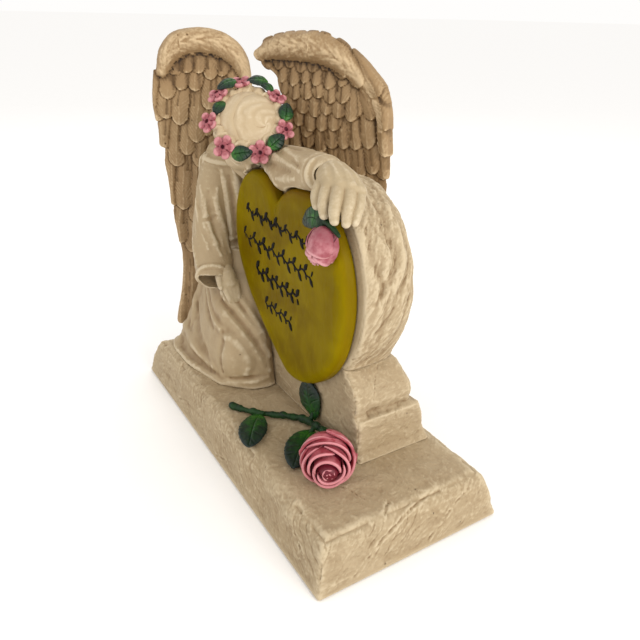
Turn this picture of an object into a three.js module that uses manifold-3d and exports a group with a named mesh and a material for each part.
// Resin memorial angel: a robed angel kneels on a stone slab and leans over a
// heart-shaped stone that carries a translucent, lit heart plate.
// Millimetres, +Z up. Origin: centre of the footprint, on the surface it stands on.
// +X is the viewer's right when the heart faces the viewer, +Y is the back.

import * as THREE from 'three';
import { mergeVertices } from 'three/addons/utils/BufferGeometryUtils.js';
import Module from 'manifold-3d';

const wasm = await Module();
wasm.setup();

// ------------------------------------------------------------ driving sizes
const GAP = 0.3;                         // glue gap between neighbouring pieces

const BASE = { L: 220, W: 103.4, z0: 0.8, z1: 24.3, inset: 7.6 };
const FOOT = { r: 6, h: 2.6, x: 93, y: 38 };
const PED = { x0: -40, yF: -3.6, z0: 24.6, zMid: 47.7, zTop: 69.0 };
const STONE = { yF: -3.6, yB: 27, z0: 69.3 };
const LENS = { yB: -3.9, t: 7.6 };
const CHAMBER = { x0: -22, x1: 32, z0: 92, z1: 130, depth: 13.5 };
const BORE = { x: 5, y: 6, r: 3.6 };     // wire channel down to the battery bay

// body axes: the angel faces the viewer's right and front
const FWD = new THREE.Vector3(0.87, -0.493, 0).normalize();
const LAT = new THREE.Vector3(0.493, 0.87, 0).normalize();   // towards her left hand
const BODY = new THREE.Vector3(-66, 1, 0);                    // plan centre of the body

const HEAD = { c: [-40, -5.5, 165.5], el: 42, az: [0.882, -0.471], rl: 16.5, ru: 19.5, rf: 18.5 };
const CROWN = { c: [-32.5, -9.6, 173], r: 18.6 };

// ------------------------------------------------------------ helpers
const V = (x, y, z) => new THREE.Vector3(x, y, z);
const clean = (g) => {
  const h = g.index ? g.clone() : g.clone();
  for (const k of Object.keys(h.attributes)) if (k !== 'position') h.deleteAttribute(k);
  return mergeVertices(h, 1e-4);
};
function volume(g) {
  const p = g.attributes.position, ix = g.index;
  let v = 0;
  const a = V(0, 0, 0), b = V(0, 0, 0), c = V(0, 0, 0);
  for (let i = 0; i < ix.count; i += 3) {
    a.fromBufferAttribute(p, ix.getX(i));
    b.fromBufferAttribute(p, ix.getX(i + 1));
    c.fromBufferAttribute(p, ix.getX(i + 2));
    v += a.dot(b.cross(c)) / 6;
  }
  return v;
}
function solid(g0) {
  const g = clean(g0);
  const tri = Uint32Array.from(g.index.array);
  if (volume(g) < 0) {
    for (let i = 0; i < tri.length; i += 3) { const t = tri[i]; tri[i] = tri[i + 1]; tri[i + 1] = t; }
  }
  return new wasm.Manifold(new wasm.Mesh({
    numProp: 3, vertProperties: Float32Array.from(g.attributes.position.array), triVerts: tri,
  }));
}
function geo(m) {
  const me = m.getMesh();
  const g = new THREE.BufferGeometry();
  g.setAttribute('position', new THREE.BufferAttribute(Float32Array.from(me.vertProperties), 3));
  g.setIndex(Array.from(me.triVerts));
  return g;
}
const at = (g, x, y, z) => { g.translate(x, y, z); return g; };
const box = (x0, x1, y0, y1, z0, z1) =>
  at(new THREE.BoxGeometry(x1 - x0, y1 - y0, z1 - z0), (x0 + x1) / 2, (y0 + y1) / 2, (z0 + z1) / 2);
const cyl = (r, z0, z1, x, y, n = 20) => {
  const g = new THREE.CylinderGeometry(r, r, z1 - z0, n);
  g.rotateX(Math.PI / 2);
  return at(g, x, y, (z0 + z1) / 2);
};
// a stack of rings with the same number of points, closed at both ends
function loft(rings) {
  const n = rings[0].length, m = rings.length - 1;
  const g = new THREE.CylinderGeometry(1, 1, 1, n, m);
  const p = g.attributes.position;
  const mid = (r) => r.reduce((s, q) => s.add(q), V(0, 0, 0)).multiplyScalar(1 / n);
  let k = 0;
  for (let j = 0; j <= m; j++) for (let i = 0; i <= n; i++) { const q = rings[j][i % n]; p.setXYZ(k++, q.x, q.y, q.z); }
  for (const r of [rings[0], rings[m]]) {
    const c = mid(r);
    for (let i = 0; i < n; i++) p.setXYZ(k++, c.x, c.y, c.z);
    for (let i = 0; i <= n; i++) { const q = r[i % n]; p.setXYZ(k++, q.x, q.y, q.z); }
  }
  return g;
}
const ellRing = (c, u, v, ru, rv, n) => Array.from({ length: n }, (_, i) => {
  const t = 2 * Math.PI * i / n;
  return c.clone().addScaledVector(u, ru * Math.cos(t)).addScaledVector(v, rv * Math.sin(t));
});
// a limb: rings square to a path, radii per point
function limb(pts, radii, n = 14, up = V(0, 0, 1)) {
  const rings = [];
  for (let i = 0; i < pts.length; i++) {
    const a = pts[Math.max(0, i - 1)], b = pts[Math.min(pts.length - 1, i + 1)];
    const t = b.clone().sub(a).normalize();
    const u = up.clone().cross(t).normalize();
    const v = t.clone().cross(u).normalize();
    rings.push(ellRing(pts[i], u, v, radii[i][0], radii[i][1], n));
  }
  return loft(rings);
}
function ball(c, rx, ry, rz, ws = 20, hs = 12) {
  const g = new THREE.SphereGeometry(1, ws, hs);
  g.scale(rx, ry, rz);
  return at(g, c[0], c[1], c[2]);
}
// evaluates a boolean at once, which keeps the expression trees short
const now = (m) => { m.numTri(); return m; };
// grown copy of a solid, to cut a neighbour back by the glue gap
function grow(m, d = GAP, dirs = 'xyz') {
  const parts = [now(m)];
  if (dirs.includes('x')) parts.push(m.translate([d, 0, 0]), m.translate([-d, 0, 0]));
  if (dirs.includes('y')) parts.push(m.translate([0, d, 0]), m.translate([0, -d, 0]));
  if (dirs.includes('z')) parts.push(m.translate([0, 0, d]), m.translate([0, 0, -d]));
  return parts.reduce((a, b) => now(a.add(b)));
}
const biggest = (m) => now(m).decompose().sort((a, b) => b.volume() - a.volume())[0];
// repeatable unevenness for hand-carved stone
const rough = (i, j) => {
  const s = Math.sin(i * 12.9898 + j * 78.233) * 43758.5453;
  return s - Math.floor(s);
};
const shapeOf = (pts) => { const s = new THREE.Shape(); pts.forEach((p, i) => (i ? s.lineTo(p[0], p[1]) : s.moveTo(p[0], p[1]))); s.closePath(); return s; };

// ------------------------------------------------------------ materials
const mat = (color, roughness, metalness = 0, extra = {}) => new THREE.MeshStandardMaterial({ color, roughness, metalness, ...extra });
const IVORY = () => mat(0xdcc39a, 0.62);
const PALE = () => mat(0xe3d2b0, 0.55);
const WING = () => mat(0xb5946a, 0.66);
const AMBER = () => mat(0x7d6905, 0.25, 0, { transparent: true, opacity: 0.85 });
const PINK = () => mat(0xc35a6e, 0.42);
const GREEN = () => mat(0x163c1c, 0.4);
const BLACK = () => mat(0x18181a, 0.5);
const METAL = () => mat(0xb9bcc0, 0.3, 0.9);
const CELL = () => mat(0x2f5fa8, 0.35, 0.2);
const BOARD = () => mat(0x1f5a34, 0.5);
const LEDM = () => mat(0xf2edd8, 0.15, 0, { transparent: true, opacity: 0.8 });
const RUBBER = () => mat(0x2a2a2a, 0.85);
const REDW = () => mat(0x9c1f1f, 0.5);
const BLKW = () => mat(0x1c1c1c, 0.5);

const group = new THREE.Group();
group.name = 'angel_memorial_figurine';
function add(name, material, g, parent = group) {
  const m = g.attributes ? g : geo(g);
  const c = clean(m);
  c.computeVertexNormals();
  const mesh = new THREE.Mesh(c, material);
  mesh.name = name;
  parent.add(mesh);
  return mesh;
}
const body = {};                         // solids kept for cutting neighbours

// ------------------------------------------------------------ base slab
{
  const nx = 9, ny = 5;
  const ring = (z, inset, j, jag) => {
    const hx = BASE.L / 2 - inset, hy = BASE.W / 2 - inset, r = [];
    const corner = (x, y) => r.push(V(x, y, z));
    const edge = (x0, y0, x1, y1, n, nxm, nym, k) => {
      corner(x0, y0);
      for (let i = 1; i < n; i++) {
        const t = i / n, d = jag * rough(i + k, j);
        r.push(V(x0 + (x1 - x0) * t - nxm * d, y0 + (y1 - y0) * t - nym * d, z));
      }
    };
    edge(-hx, -hy, hx, -hy, nx, 0, -1, 1);
    edge(hx, -hy, hx, hy, ny, 1, 0, 20);
    edge(hx, hy, -hx, hy, nx, 0, 1, 40);
    edge(-hx, hy, -hx, -hy, ny, -1, 0, 60);
    return r;
  };
  let slab = solid(loft([ring(BASE.z1, BASE.inset, 3, 1.2), ring(19.5, 4.6, 2, 1.6), ring(8, 1.6, 1, 1.4), ring(BASE.z0, 0, 0, 0)]));
  // bay for the battery housing, its flange recess, the wire bore and the foot pockets
  slab = slab.subtract(solid(box(-38.4, 58.4, -18.4, 18.4, BASE.z0 - 1, 2.9)));
  slab = slab.subtract(solid(box(-30.5, 55.5, -14.5, 14.5, 2.5, 20.6)));
  slab = slab.subtract(solid(cyl(BORE.r, 20, 26, BORE.x, BORE.y, 16)));
  for (const sx of [-1, 1]) for (const sy of [-1, 1])
    slab = slab.subtract(solid(cyl(FOOT.r + GAP, BASE.z0 - 1, FOOT.h + GAP, sx * FOOT.x, sy * FOOT.y, 20)));
  body.base = slab;
  add('base_slab', IVORY(), slab);
  let n = 1;
  for (const [sx, sy] of [[-1, -1], [1, -1], [1, 1], [-1, 1]])
    add(`rubber_foot_${n++}`, RUBBER(), cyl(FOOT.r, 0, FOOT.h, sx * FOOT.x, sy * FOOT.y, 20));
}

// ------------------------------------------------------------ stepped pedestal
{
  const P = PED;
  // z, right edge, back edge, left edge
  const rows = [
    [P.zTop, 52.9, 27.0, P.x0 + 9], [66.0, 57.0, 28.0, P.x0 + 6], [61.5, 61.0, 29.6, P.x0 + 3.5], [54.0, 63.4, 31.4, P.x0 + 2.5],
    [P.zMid + 0.6, 63.0, 31.0, P.x0 + 2.6], [P.zMid, 65.2, 33.6, P.x0 + 1.5], [42.0, 66.4, 36.4, P.x0 + 1], [34.0, 66.6, 38.4, P.x0 + 0.6], [P.z0, 69.1, 41.6, P.x0],
  ];
  const ring = (z, xr, yb, xl, j) => {
    const r = [];
    const jag = (i) => 0.9 * rough(i, j + 9);
    for (let i = 0; i < 6; i++) r.push(V(xl + (xr - xl) * i / 6, P.yF, z));
    for (let i = 0; i < 3; i++) r.push(V(xr - (i ? jag(i) : 0), P.yF + (yb - P.yF) * i / 3, z));
    for (let i = 0; i < 6; i++) r.push(V(xr - (xr - xl) * i / 6, yb - (i ? jag(i + 5) : 0), z));
    for (let i = 0; i < 3; i++) r.push(V(xl, yb - (yb - P.yF) * i / 3, z));
    return r;
  };
  let ped = solid(loft(rows.map((w, j) => ring(w[0], w[1], w[2], w[3], j))));
  ped = ped.subtract(solid(cyl(BORE.r, 20, 75, BORE.x, BORE.y, 16)));
  body.ped = ped;
  add('stepped_pedestal', IVORY(), ped);
}

// ------------------------------------------------------------ heart stone and plate
const HEART = [ // x, z of the plate, tip first, clockwise seen from the front
  [8, 46.2], [0.6, 50], [-10, 57], [-22, 66], [-34, 76], [-42.4, 86], [-48.4, 96], [-51.2, 106], [-51.8, 116],
  [-50, 127], [-46, 136.5], [-39.4, 144], [-31, 148.6], [-22, 150], [-13.4, 148], [-7, 143.6], [-3.4, 139],
  [2, 143.4], [10, 147.8], [19, 150], [29, 149.6], [39.5, 145.8], [49, 138.4], [56.4, 128], [60.6, 116], [61.8, 104],
  [60.4, 92], [57, 80.4], [51.8, 70.4], [45, 62], [36.6, 55], [27.6, 50], [18, 46.6],
];
{
  const cx = 5, cz = 100;
  const ring = (y, inset) => HEART.map(([x, z]) => {
    const d = Math.hypot(x - cx, z - cz);
    return V(x - inset * (x - cx) / d, y, z - inset * (z - cz) / d);
  });
  const y = LENS.yB;
  body.lens = solid(loft([ring(y, 0.3), ring(y - 1, 0), ring(y - LENS.t * 0.6, 0.2), ring(y - LENS.t * 0.86, 1.8), ring(y - LENS.t, 5.4)]));
}
{
  const OUT = [ // x, z of the stone behind the plate
    [51.5, 69.3], [58.4, 75.5], [64, 86], [67.4, 98], [68.4, 110], [66, 123], [60.4, 135], [52, 145], [42.5, 151.4], [32, 155], [21, 155.4],
    [10, 152.6], [0, 148.5], [-9, 150], [-19, 152], [-29, 151], [-38, 146], [-45, 137.4], [-49, 126], [-50.4, 113], [-48.4, 100], [-43, 88], [-36, 77.5], [-29, 69.3],
    [-12, 69.3], [4, 69.3], [20, 69.3], [36, 69.3],
  ];
  const cx = 8, cz = 108;
  const ring = (y, inset, j) => OUT.map(([x, z], i) => {
    const d = Math.hypot(x - cx, z - cz), flat = z < 69.5;
    const k = inset + (flat || j === 0 ? 0 : 1.4 * rough(i, j + 30));
    return V(x - k * (x - cx) / d, y, flat ? z : z - k * (z - cz) / d);
  });
  let stone = solid(loft([ring(STONE.yF, 1.2, 0), ring(1, 0, 1), ring(10, 0, 2), ring(19, 0.8, 3), ring(24.5, 3.6, 4), ring(STONE.yB, 9, 5)]));
  stone = stone.subtract(solid(box(CHAMBER.x0, CHAMBER.x1, STONE.yF - 1, STONE.yF + CHAMBER.depth, CHAMBER.z0, CHAMBER.z1)));
  stone = stone.subtract(solid(cyl(BORE.r, 60, CHAMBER.z0 + 1, BORE.x, BORE.y, 16)));
  body.stone = stone;
  add('heart_stone', IVORY(), stone);
  add('heart_lens', AMBER(), body.lens);
}

// ------------------------------------------------------------ wings
// each wing is one casting: blade plus two raised feather rows and a leading edge
function wing(origin, dir, nrm, layers) {
  let m = null;
  for (const [pts, y0, y1] of layers) {
    const g = new THREE.ExtrudeGeometry(shapeOf(pts), { depth: y1 - y0, bevelEnabled: false, steps: 1, curveSegments: 1 });
    // shape x -> along dir, shape y -> up, depth -> along nrm
    const M = new THREE.Matrix4().makeBasis(dir, V(0, 0, 1), nrm);
    M.setPosition(origin.clone().addScaledVector(nrm, y0));
    g.applyMatrix4(M);
    const s = solid(g);
    m = m ? m.add(s) : s;
  }
  return m;
}
{
  // her right wing
  const d1 = V(-0.447, -0.894, 0), n1 = V(0.894, -0.447, 0);
  const w1 = wing(V(-74.5, 15, 0), d1, n1, [
    [[[2, 188], [4, 199], [9, 206.5], [18, 211.5], [30, 213.6], [43, 211], [49.5, 205], [54.2, 194.5], [56.4, 175.5], [54.6, 160], [54.4, 149], [51.6, 133], [50.6, 113],
      [48.4, 95], [47, 80], [49.5, 58], [53.5, 39], [50, 33], [43, 34.5], [38, 31.5], [31, 37], [24, 46], [15, 60], [8, 80], [3.5, 105], [2, 135], [1.6, 165]], -3.4, 1.4],
    [[[4, 186], [6, 199], [12, 206], [22, 210.2], [34, 211], [44, 207.5], [50, 198], [52.4, 180], [51, 166], [46, 161.5], [41, 166], [36, 158.5], [30, 163], [25, 153], [18, 157], [13, 147], [6, 152]], 0, 3.4],
    [[[2, 186], [5, 198.5], [11, 206], [20, 211], [31, 213], [42.5, 210.4], [48.6, 204.5], [53.4, 193.6], [54.6, 184], [49.4, 187], [43.5, 197], [36, 202], [26, 202.4], [17, 199], [11, 190.5], [8, 178]], 0, 6.2],
  ]);
  // her left wing, running behind the stone
  const d2 = V(0.925, 0.381, 0).normalize(), n2 = V(0.381, -0.925, 0).normalize();
  let w2 = wing(V(-69.5, 13.2, 0), d2, n2, [
    [[[0, 202], [4.5, 207], [17, 211.4], [35, 213.4], [48, 212.4], [60, 207.8], [69, 202.2], [78, 194.8], [83.6, 188.4], [86, 179], [86.8, 169], [87.4, 158], [87.2, 148], [85.6, 128],
      [82.4, 112], [76, 96], [69, 83], [60, 71], [50, 62], [40, 55.5], [31, 56], [25, 62], [15, 71], [6, 84], [0, 100], [-1, 130], [3, 150], [12, 160], [19, 170], [21, 180], [15.6, 190], [6.7, 195.4]], -3.4, 1.4],
    [[[3, 198], [8, 205.5], [20, 209.6], [36, 211.4], [49, 210], [61, 205], [71, 197.6], [79, 188], [82.4, 176], [81.4, 158], [77, 148], [71, 152], [66, 142], [58, 148], [52, 138], [44, 145], [37, 136], [29, 146], [23, 152], [22, 168], [23, 181], [17, 190], [8, 196]], 0, 3.4],
    [[[0, 201], [4.5, 206.6], [17, 211], [35, 213], [48, 212], [60, 207.4], [69, 201.8], [77.6, 194], [70, 191.6], [58, 197.6], [46, 201.4], [33, 201.6], [24, 197], [21.6, 190], [22, 182], [16, 190], [7, 195.2]], 0, 6.2],
  ]);
  w2 = biggest(w2.subtract(grow(w1, GAP, 'xy')).subtract(grow(body.stone, GAP, 'y')).subtract(grow(body.ped, GAP, 'yz')));
  body.w1 = w1;
  body.w2 = w2;
  add('right_wing', WING(), w1);
  add('left_wing', WING(), w2);
}

// ------------------------------------------------------------ robe
const P = (f, l, z) => BODY.clone().setZ(z).addScaledVector(FWD, f).addScaledVector(LAT, l);
const fixed = () => grow(body.stone.add(body.ped).add(body.lens), GAP).add(grow(body.w1.add(body.w2), GAP, 'xy'));
const cutters = fixed();
{
  // skirt spread over the slab: hem outline, then rings that climb to the waist
  const hem = [[-16.5, -5], [-17.2, -15.5], [-23, -24], [-32, -32], [-42, -35.4], [-52, -37.8], [-60, -40], [-68, -41], [-79, -41.4], [-90, -40], [-99.5, -36.4], [-101.8, -27],
    [-101.6, -14], [-101, 0], [-99, 13], [-94, 25], [-84, 32.5], [-72, 34.5], [-58, 32], [-46, 27], [-36, 20], [-26.5, 7]];
  const ringFrom = (z, c, k, bulge) => hem.map(([x, y], i) => {
    const dx = x - BODY.x, dy = y - BODY.y;
    const a = Math.max(0, (dx * FWD.x + dy * FWD.y) / Math.hypot(dx, dy));
    const s = k + bulge * a * a;
    return V(c[0] + dx * s, c[1] + dy * s, z);
  });
  let skirt = solid(loft([
    ringFrom(97, [-65.5, 0.5], 0.40, -0.04), ringFrom(86, [-65.5, 0.5], 0.46, 0.02), ringFrom(72, [-66, 0], 0.54, 0.16), ringFrom(58, [-66, 0], 0.63, 0.24),
    ringFrom(44, [-66, 0.5], 0.74, 0.22), ringFrom(32, [-66, 0.8], 0.86, 0.12), ringFrom(24.6, [-66, 1], 1, 0),
  ]));
  skirt = biggest(skirt.subtract(cutters));
  body.skirt = skirt;
  add('robe_skirt', PALE(), skirt);

  const tr = (f, l, z, rl, rf) => ellRing(P(f, l, z), LAT, FWD, rl, rf, 20);
  let torso = solid(loft([
    tr(9, -1, 158.5, 8, 7.5), tr(6.5, -1, 153.5, 13.5, 10), tr(3.5, -1, 148, 21, 12.4), tr(1.5, -0.6, 138, 22.4, 13.6), tr(0.5, -0.4, 122, 20.4, 14), tr(0, 0, 108, 18.6, 13.6), tr(0, 0, 97.3, 18.8, 13.6),
  ]));
  body.torso0 = torso;
  // sleeves
  let rs = solid(limb(
    [P(4, -10, 150), P(5.5, -13.5, 140), P(7.5, -16, 126), P(11, -17.5, 111), P(17, -17.5, 98), P(22.5, -15.5, 89)],
    [[8.4, 8.4], [9.6, 9.4], [10, 9.8], [10.6, 10.4], [11.4, 11.4], [12.4, 10.4]], 14, FWD));
  let ls = solid(limb(
    [P(4, 14, 141), V(-43, 10, 144.5), V(-26, 5, 149.5), V(-8, 1.4, 153), V(8, -1, 155.4), V(22, -2.4, 157.6), V(32, -3, 159)],
    [[11, 11], [11, 10.6], [10.4, 10], [10.2, 9.6], [10, 9], [9.6, 8.2], [8.8, 7]], 14));
  const disc = new THREE.CylinderGeometry(26.5, 22, 13, 24);
  disc.applyQuaternion(new THREE.Quaternion().setFromUnitVectors(V(0, 1, 0), V(HEAD.az[0] * Math.cos(0.733), HEAD.az[1] * Math.cos(0.733), Math.sin(0.733)).normalize()));
  at(disc, CROWN.c[0] + 0.655 * 3, CROWN.c[1] - 0.35 * 3, CROWN.c[2] + 0.669 * 3);
  const headCut = solid(ball(HEAD.c, 19.5, 19.5, 19.5, 18, 10)).add(solid(disc));
  ls = biggest(ls.subtract(cutters).subtract(headCut));
  body.ls = ls;
  rs = biggest(rs.subtract(cutters).subtract(grow(body.skirt, GAP)).subtract(headCut));
  body.rs = rs;
  torso = biggest(torso.subtract(cutters).subtract(grow(ls)).subtract(grow(rs)).subtract(headCut));
  body.torso = torso;
  add('torso', PALE(), torso);
  add('right_sleeve', PALE(), rs);
  add('left_sleeve', PALE(), ls);
}

// ------------------------------------------------------------ hands
{
  // left hand: back of the hand on top of the stone, fingers over the plate
  const palm = solid(limb([V(30, -3, 159.4), V(37, -3.4, 160), V(43.5, -3.4, 159), V(49, -3, 155.5)], [[5.6, 4.2], [6.8, 4], [8.6, 4], [9, 3.6]], 12));
  let hand = palm;
  const tips = [[[43, -9, 156.5], [46.5, -12.4, 151], [50, -13.4, 145.6]], [[47.5, -6.5, 156.5], [52, -10, 151], [55.8, -11.4, 145.4]], [[50.5, -3, 155.5], [55.4, -6, 150.5], [58, -8, 144.4]], [[51.5, 1.5, 153.5], [56.4, -0.5, 149.6], [58, -2.6, 145.4]]];
  for (const f of tips) hand = hand.add(solid(limb(f.map((p) => V(...p)), [[2.8, 2.8], [2.5, 2.5], [1.9, 1.9]], 8)));
  hand = hand.add(solid(limb([V(37.5, -8, 157.5), V(40, -12, 152.5), V(43, -13.4, 147.4)], [[2.9, 2.9], [2.6, 2.6], [1.9, 1.9]], 8)));
  hand = hand.subtract(grow(body.stone.add(body.lens), GAP)).subtract(grow(body.ls));
  body.lh = biggest(hand);
  add('left_hand', PALE(), body.lh);

  // right hand: rests against the left edge of the plate
  const wr = P(22, -10, 91);
  let rh = solid(limb([wr, P(27, -6, 88), P(31, -2.6, 83), P(33.5, -1, 77)], [[5.6, 5], [7, 4.4], [6.6, 3.6], [4.4, 2.6]], 12, FWD));
  rh = rh.subtract(grow(body.lens)).subtract(grow(body.stone)).subtract(grow(body.skirt)).subtract(grow(body.rs)).subtract(grow(body.torso));
  body.rh = biggest(rh);
  add('right_hand', PALE(), body.rh);
}

// ------------------------------------------------------------ head
const EL = HEAD.el * Math.PI / 180;
const VTX = V(HEAD.az[0] * Math.cos(EL), HEAD.az[1] * Math.cos(EL), Math.sin(EL)).normalize();  // crown of the head
const HL = LAT.clone().addScaledVector(VTX, -LAT.dot(VTX)).normalize();
const HU = VTX.clone().cross(HL).normalize().multiplyScalar(-1);                                 // towards the nape
if (HU.z < 0) HU.multiplyScalar(-1);
{
  const c = V(...HEAD.c);
  const M = new THREE.Matrix4().makeBasis(HL, HU, VTX);
  if (M.determinant() < 0) M.makeBasis(HL, HU, VTX);
  const sk = new THREE.SphereGeometry(1, 18, 12);
  const p = sk.attributes.position;
  for (let i = 0; i < p.count; i++) {
    const q = V(p.getX(i) * HEAD.rl, p.getY(i) * HEAD.rf, p.getZ(i) * HEAD.ru);
    const w = c.clone().addScaledVector(HL, q.x).addScaledVector(HU, q.y).addScaledVector(VTX, q.z);
    p.setXYZ(i, w.x, w.y, w.z);
  }
  let head = solid(sk);
  // jaw and neck
  head = head.add(solid(limb([c.clone().addScaledVector(VTX, -4).addScaledVector(HU, -4), c.clone().addScaledVector(VTX, -17).addScaledVector(HU, -8)], [[12, 12], [7, 6.5]], 12)));
  head = head.add(solid(limb([c.clone().addScaledVector(VTX, -6), c.clone().addScaledVector(VTX, -17).addScaledVector(HU, 3)], [[9, 9], [8, 8]], 12)));
  head = biggest(head.subtract(grow(body.torso)).subtract(grow(body.ls)).subtract(grow(body.rs)).subtract(cutters));
  body.head = head;
}

// ------------------------------------------------------------ wreath
{
  const cc = V(...CROWN.c);
  const band = new THREE.TorusGeometry(CROWN.r - 2.4, 1.7, 6, 30);
  const U = VTX.clone().cross(HL).normalize();       // in-plane "up"
  if (U.z < 0) U.multiplyScalar(-1);
  const B = new THREE.Matrix4().makeBasis(HL, U, HL.clone().cross(U));
  B.setPosition(cc);
  band.applyMatrix4(B);
  const N = HL.clone().cross(U).normalize();
  if (N.dot(VTX) < 0) N.multiplyScalar(-1);
  let bandS = solid(band);
  const head = biggest(body.head.subtract(grow(bandS)));
  // the wreath sits in a groove of the hair
  add('head', PALE(), head);
  add('crown_band', PALE(), bandS);
  body.head = head;
  body.band = bandS;

  const petals = (R, n = 5, seg = 20) => {
    const pts = [];
    for (let i = 0; i < seg; i++) {
      const t = 2 * Math.PI * i / seg;
      const r = R * (0.66 + 0.34 * Math.abs(Math.cos(n * t / 2)));
      pts.push([r * Math.cos(t), r * Math.sin(t)]);
    }
    return shapeOf(pts);
  };
  const place = (g, ang, rad, lift, out, spin) => {
    // local x,y in the face of the piece, z out of it; the piece leans outwards by `out`
    const er = HL.clone().multiplyScalar(Math.cos(ang)).addScaledVector(U, Math.sin(ang));
    const et = HL.clone().multiplyScalar(-Math.sin(ang)).addScaledVector(U, Math.cos(ang));
    const z = N.clone().multiplyScalar(Math.cos(out)).addScaledVector(er, Math.sin(out));
    const x = er.clone().multiplyScalar(Math.cos(out)).addScaledVector(N, -Math.sin(out));
    const y = z.clone().cross(x);
    const M = new THREE.Matrix4().makeRotationZ(spin);
    const Bm = new THREE.Matrix4().makeBasis(x, y, z);
    Bm.setPosition(cc.clone().addScaledVector(er, rad).addScaledVector(N, lift));
    return g.applyMatrix4(M).applyMatrix4(Bm);
  };
  // positions round the ring, degrees from her left-hand side, anticlockwise seen from the front of the wreath
  const fl = [[141, 19.4, 5.6], [102.4, 20.2, 5.6], [40.6, 18.4, 5.2], [-20, 19.4, 5.2], [-72.3, 20.4, 5.8], [-123.3, 20.2, 5.8], [-169.7, 19.4, 5.4]];
  fl.forEach(([a, r, R], i) => {
    const g = new THREE.ExtrudeGeometry(petals(R), { depth: 2.2, bevelEnabled: false, steps: 1 });
    place(g, a * Math.PI / 180, r, 1.9, 0.55, 0.4 * i);
    const fs = solid(g);
    (body.flowers ||= []).push(fs);
    add(`crown_flower_${i + 1}`, PINK(), fs);
  });
  const leaf = (L, W) => {
    const s = new THREE.Shape();
    s.moveTo(-L / 2, 0);
    s.quadraticCurveTo(-L * 0.1, -W * 0.95, L / 2, 0);
    s.quadraticCurveTo(-L * 0.1, W * 0.95, -L / 2, 0);
    return s;
  };
  const lf = [[122, 21], [77.6, 20.9], [8.8, 19.4], [-44, 20.4], [-96, 21.4], [165, 15], [61, 19.2]];
  lf.forEach(([a, r], i) => {
    const L = i === 6 ? 5.6 : i === 5 ? 7 : 8.4, W = i === 6 ? 3.4 : i === 5 ? 4.6 : 5.2;
    const g = new THREE.ExtrudeGeometry(leaf(L, W), { depth: 1.3, bevelEnabled: false, steps: 1, curveSegments: 4 });
    place(g, a * Math.PI / 180, r, 4.5, 0.3, Math.PI / 2 + 0.3 * Math.sin(i * 2.1));
    const ls = solid(g);
    add(`crown_leaf_${i + 1}`, GREEN(), ls);
  });
}

// ------------------------------------------------------------ rosebud on the plate
{
  const y = LENS.yB - LENS.t - GAP;
  const bud = loft([[4.2, 0.2, 141], [6.6, 3.6, 138.6], [8, 5, 134.6], [7.8, 5.2, 130.6], [6.4, 4.6, 127], [3.8, 3, 125]].map(([r, d, z]) =>
    Array.from({ length: 16 }, (_, i) => { const t = 2 * Math.PI * i / 16; return V(50 + r * Math.cos(t), y - 4.4 + Math.min(4.4, (r * 0.66) * Math.sin(t) * 1), z - 0.0); })));
  body.bud = solid(bud).intersect(solid(box(20, 70, y - 12, y, 100, 150)));
  add('heart_rosebud', PINK(), body.bud);
  const leafShape = new THREE.Shape();
  leafShape.moveTo(28.4, 137); leafShape.quadraticCurveTo(31.4, 146.4, 42.6, 144.4); leafShape.lineTo(39.6, 141.4); leafShape.quadraticCurveTo(36.5, 131.5, 28.4, 137);
  const lg = new THREE.ExtrudeGeometry(leafShape, { depth: 2.2, bevelEnabled: false, steps: 1, curveSegments: 6 });
  lg.rotateX(Math.PI / 2);
  at(lg, 0, y, 0);
  add('heart_rose_leaf', GREEN(), solid(lg));
  const st = new THREE.CatmullRomCurve3([V(44, y - 1.6, 143.4), V(48.6, y - 2, 143.4), V(53.8, y - 1.8, 142.2), V(58.6, y - 1.2, 139.6)]);
  const c8 = new THREE.Shape(Array.from({ length: 8 }, (_, i) => new THREE.Vector2(1.3 * Math.cos(i * Math.PI / 4), 1.3 * Math.sin(i * Math.PI / 4))));
  add('heart_rose_stem', GREEN(), solid(new THREE.ExtrudeGeometry(c8, { steps: 8, bevelEnabled: false, extrudePath: st })).subtract(solid(box(0, 80, y, y + 9, 100, 160))).subtract(grow(body.lh)).subtract(grow(body.bud)));
}

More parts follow.
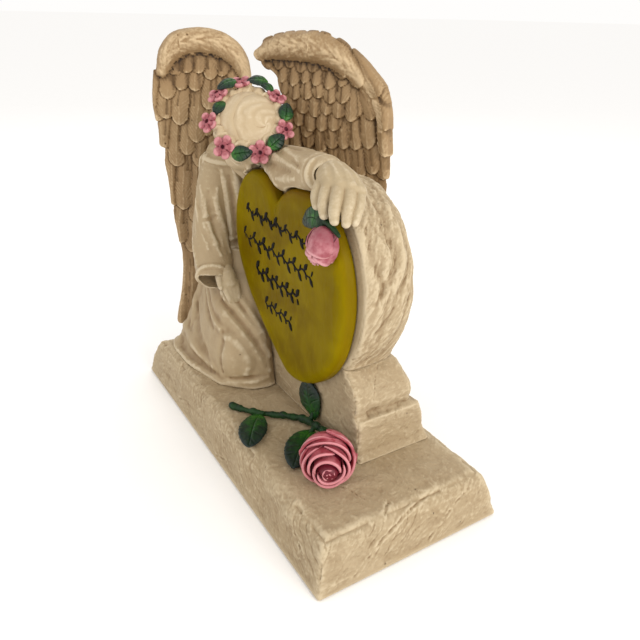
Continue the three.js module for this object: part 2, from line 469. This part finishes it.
// ------------------------------------------------------------ rose on the slab
{
  const z0 = BASE.z1 + GAP;
  // the bloom lies on its side and opens towards the viewer's right and front
  const A = V(0.86, -0.5, 0.02).normalize(), W = V(0.5, 0.86, 0).normalize(), Z = A.clone().cross(W).multiplyScalar(-1);
  if (Z.z < 0) Z.multiplyScalar(-1);
  const bc = V(79, -27.4, z0 + 11.8);
  const bloom = solid(loft([[5, 0.5], [9.2, 1.4], [11.4, -1.5], [12, -6], [11.6, -12], [9.4, -18], [5.6, -22.4], [2.4, -24]].map(([r, h], j) =>
    ellRing(bc.clone().addScaledVector(A, h), W, Z, r, r * 0.97, 18).map((q, i) => q.addScaledVector(Z, 0).setZ(Math.max(z0, q.z + 0.4 * Math.cos(5 * i + j)))))));
  body.bloom = bloom;
  add('rose_bloom', PINK(), bloom);
  const st = new THREE.CatmullRomCurve3([V(-4.4, -36.5, z0 + 1.8), V(4.6, -30.5, z0 + 1.9), V(12.5, -22.5, z0 + 2), V(19.5, -14.6, z0 + 2.1), V(27, -9.6, z0 + 3), V(36.5, -9.4, z0 + 5.4), V(46, -10.6, z0 + 8.6), V(56.4, -13.8, z0 + 11.6)]);
  const c8 = new THREE.Shape(Array.from({ length: 8 }, (_, i) => new THREE.Vector2(1.7 * Math.cos((i + 0.5) * Math.PI / 4), 1.7 * Math.sin((i + 0.5) * Math.PI / 4))));
  let stem = solid(new THREE.ExtrudeGeometry(c8, { steps: 14, bevelEnabled: false, extrudePath: st }));
  stem = biggest(stem.subtract(grow(bloom)).subtract(solid(box(-20, 80, -60, 20, 0, z0))));
  body.stem = stem;
  add('rose_stem', GREEN(), stem);
  const cutLeaf = (g) => biggest(solid(g).subtract(grow(stem)).subtract(grow(bloom)));
  const flat = (name, pts) => {
    const c = new THREE.CatmullRomCurve3(pts.map((q) => V(q[0], q[1], 0)), true, 'centripetal').getPoints(18).slice(0, -1).map((q) => [q.x, q.y]);
    add(name, GREEN(), cutLeaf(at(new THREE.ExtrudeGeometry(shapeOf(c), { depth: 2.4, bevelEnabled: false, steps: 1 }), 0, 0, z0)));
  };
  // one leaf stands up against the plinth, two lie on the slab
  const up = new THREE.CatmullRomCurve3([V(22, 27.4, 0), V(13, 29, 0), V(11.6, 36, 0), V(18.6, 44, 0), V(27, 48.6, 0), V(33, 47, 0), V(30.6, 38, 0)], true, 'centripetal').getPoints(18).slice(0, -1).map((q) => [q.x, q.y]);
  const lg = new THREE.ExtrudeGeometry(shapeOf(up), { depth: 2.4, bevelEnabled: false, steps: 1 });
  lg.rotateX(Math.PI / 2);
  add('rose_leaf_1', GREEN(), cutLeaf(at(lg, 0, PED.yF - GAP, 0)).subtract(grow(body.lens)));
  flat('rose_leaf_2', [[8.5, -26.5], [11, -36], [18.4, -43], [28, -46], [31.8, -44], [30, -38], [20.7, -29.1], [13, -24.5]]);
  flat('rose_leaf_3', [[35.5, -10], [36, -16], [38.5, -22], [45, -30], [53, -35.4], [57.4, -34.3], [57, -25.7], [46, -13]]);
}

// ------------------------------------------------------------ light unit behind the plate
{
  const by0 = STONE.yF + CHAMBER.depth - GAP - 1.6, by1 = by0 + 1.6;
  add('led_board', BOARD(), box(-15, 25, by0, by1, 98, 124));
  let n = 1;
  for (const x of [-6, 16]) {
    const prof = [[0, 0], [2.9, 0], [2.9, 1], [2.5, 1], [2.5, 5.6], [1.9, 7.2], [0, 8]].map(([r, h]) => new THREE.Vector2(r, h));
    const g = new THREE.LatheGeometry(prof, 12);
    g.rotateX(Math.PI);                  // axis y, dome towards -y
    at(g, x, by0 - GAP, 111);
    add(`led_${n++}`, LEDM(), solid(g));
  }
}

// ------------------------------------------------------------ battery housing
{
  let h = solid(box(-38, 58, -18, 18, 1.0, 2.6));
  h = h.add(solid(box(-28, 28, -13, 13, 2.0, 16.6)));
  h = h.add(solid(box(38, 54, -5.4, 5.4, 2.0, 8.4)));
  h = h.subtract(solid(box(-26.6, 26.6, -11.6, 11.6, 0, 15.2)));
  h = h.subtract(solid(box(39.4, 52.6, -3.6, 3.6, 2.6, 9)));
  h = h.subtract(solid(box(42.6, 50.4, -1.8, 1.8, 0, 3)));
  h = h.subtract(solid(box(-25.9, -23.9, -12.7, 12.7, 0, 2.9)));     // snap-in hinge notches
  h = h.subtract(solid(box(26, 30, -4, 4, 0, 1.9)));                 // thumb recess at the catch
  for (const y of [5.6, -5.6]) h = h.subtract(solid(box(26, 29, y - 1.5, y + 1.5, 12.4, 14.6)));  // contact tab slots
  body.housing = h;
  add('battery_housing', BLACK(), h);

  // door: swings down about its snap-in pins
  let d = solid(box(-26, 26.2, -11.2, 11.2, 1.0, 2.8));
  const pin = new THREE.CylinderGeometry(0.6, 0.6, 24.8, 10);
  d = d.add(solid(at(pin, -24.9, 0, 1.9)));
  for (const x of [16, 18, 20]) d = d.subtract(solid(box(x, x + 0.9, -7, 7, 0, 1.4)));           // grip grooves
  add('battery_door', BLACK(), d);

  // cells lie side by side, head to tail
  for (const [i, y] of [[1, 5.6], [2, -5.6]]) {
    const prof = [[0, 0], [5.25, 0], [5.25, 43.2], [1.9, 43.2], [1.9, 44.5], [0, 44.5]].map(([r, q]) => new THREE.Vector2(r, q));
    const g = new THREE.LatheGeometry(prof, 16);
    g.rotateZ(i === 1 ? -Math.PI / 2 : Math.PI / 2);
    at(g, i === 1 ? -21.7 : 21.7, y, 9.2);
    add(`battery_cell_${i}`, CELL(), solid(g));
  }
  const coil = (x0, x1, y, flip) => {
    const prof = [[0, 0], [3.6, 0], [3.6, 0.8], [2.0, 2.4], [2.0, 3], [0, 3]].map(([r, q]) => new THREE.Vector2(r, q));
    const g = new THREE.LatheGeometry(prof, 12);
    g.scale(1, (x1 - x0) / 3, 1);
    g.rotateZ(flip ? Math.PI / 2 : -Math.PI / 2);
    return solid(at(g, flip ? x1 : x0, y, 9.2));
  };
  add('contact_link', METAL(), solid(box(-26.3, -25.8, -10.6, 10.6, 4.6, 13.6)).add(coil(-25.9, -22.0, 5.6, false)));
  add('contact_positive', METAL(), solid(box(25.8, 26.3, 1, 10.6, 4.6, 13.6)).add(solid(box(26, 30, 4.4, 6.8, 13.0, 13.6))).add(solid(box(23.2, 26, 4, 7.2, 7.6, 10.8))));
  add('contact_negative', METAL(), solid(box(25.8, 26.3, -10.6, -1, 4.6, 13.6)).add(solid(box(26, 30, -6.8, -4.4, 13.0, 13.6))).add(coil(22.0, 25.9, -5.6, true)));

  // slide switch, its nub inside the flange
  let sb = solid(box(39.8, 52.2, -3.2, 3.2, 2.9, 8.6));
  sb = sb.subtract(solid(box(42.6, 50.4, -1.8, 1.8, 2, 5.8)));
  for (const x of [43, 49]) sb = sb.add(solid(box(x - 0.6, x + 0.6, -0.4, 0.4, 8.4, 10.6)));
  add('switch_body', METAL(), sb);
  add('switch_slider', mat(0xe8e4da, 0.45), box(43, 46.6, -1.4, 1.4, 1.2, 5.4));
}

// ------------------------------------------------------------ leads, held inside all the way
{
  const lead = (name, material, pts, steps) => {
    const c = new THREE.CatmullRomCurve3(pts.map((p) => V(...p)), false, 'centripetal');
    const s = new THREE.Shape(Array.from({ length: 8 }, (_, i) => new THREE.Vector2(0.75 * Math.cos(i * Math.PI / 4), 0.75 * Math.sin(i * Math.PI / 4))));
    add(name, material, solid(new THREE.ExtrudeGeometry(s, { steps, bevelEnabled: false, extrudePath: c })));
  };
  const yb = STONE.yF + CHAMBER.depth - GAP - 0.8;
  lead('wire_positive', REDW(), [[30.4, 5.6, 13.3], [32.6, 5.6, 13.9], [33.6, 5.6, 16.2], [31.8, 5.7, 18.5], [27, 5.8, 18.9], [12, 6, 18.7], [7.4, 6, 19.3], [6.5, 6, 22.4], [6.7, 6, 40], [6.7, 6, 66], [6.7, 6, 88], [6.7, 6.6, 93], [6.7, yb, 97.6]], 26);
  lead('wire_negative', BLKW(), [[43, 0, 11.0], [43, 0.4, 13.2], [41.4, 1, 16], [37, 1.6, 18.6], [31, 2, 18.9], [12, 2.4, 18.9], [5.6, 3.8, 19.4], [3.5, 5.6, 22.4], [3.4, 6, 40], [3.4, 6, 66], [3.4, 6, 88], [3.4, 6.6, 93], [3.4, yb, 97.6]], 28);
  lead('wire_switch', BLKW(), [[30.4, -5.6, 13.3], [34, -5.4, 13.4], [40, -4, 14], [46.5, -1.2, 14], [48.7, -0.2, 13], [49, 0, 11.0]], 14);
}

export default group;
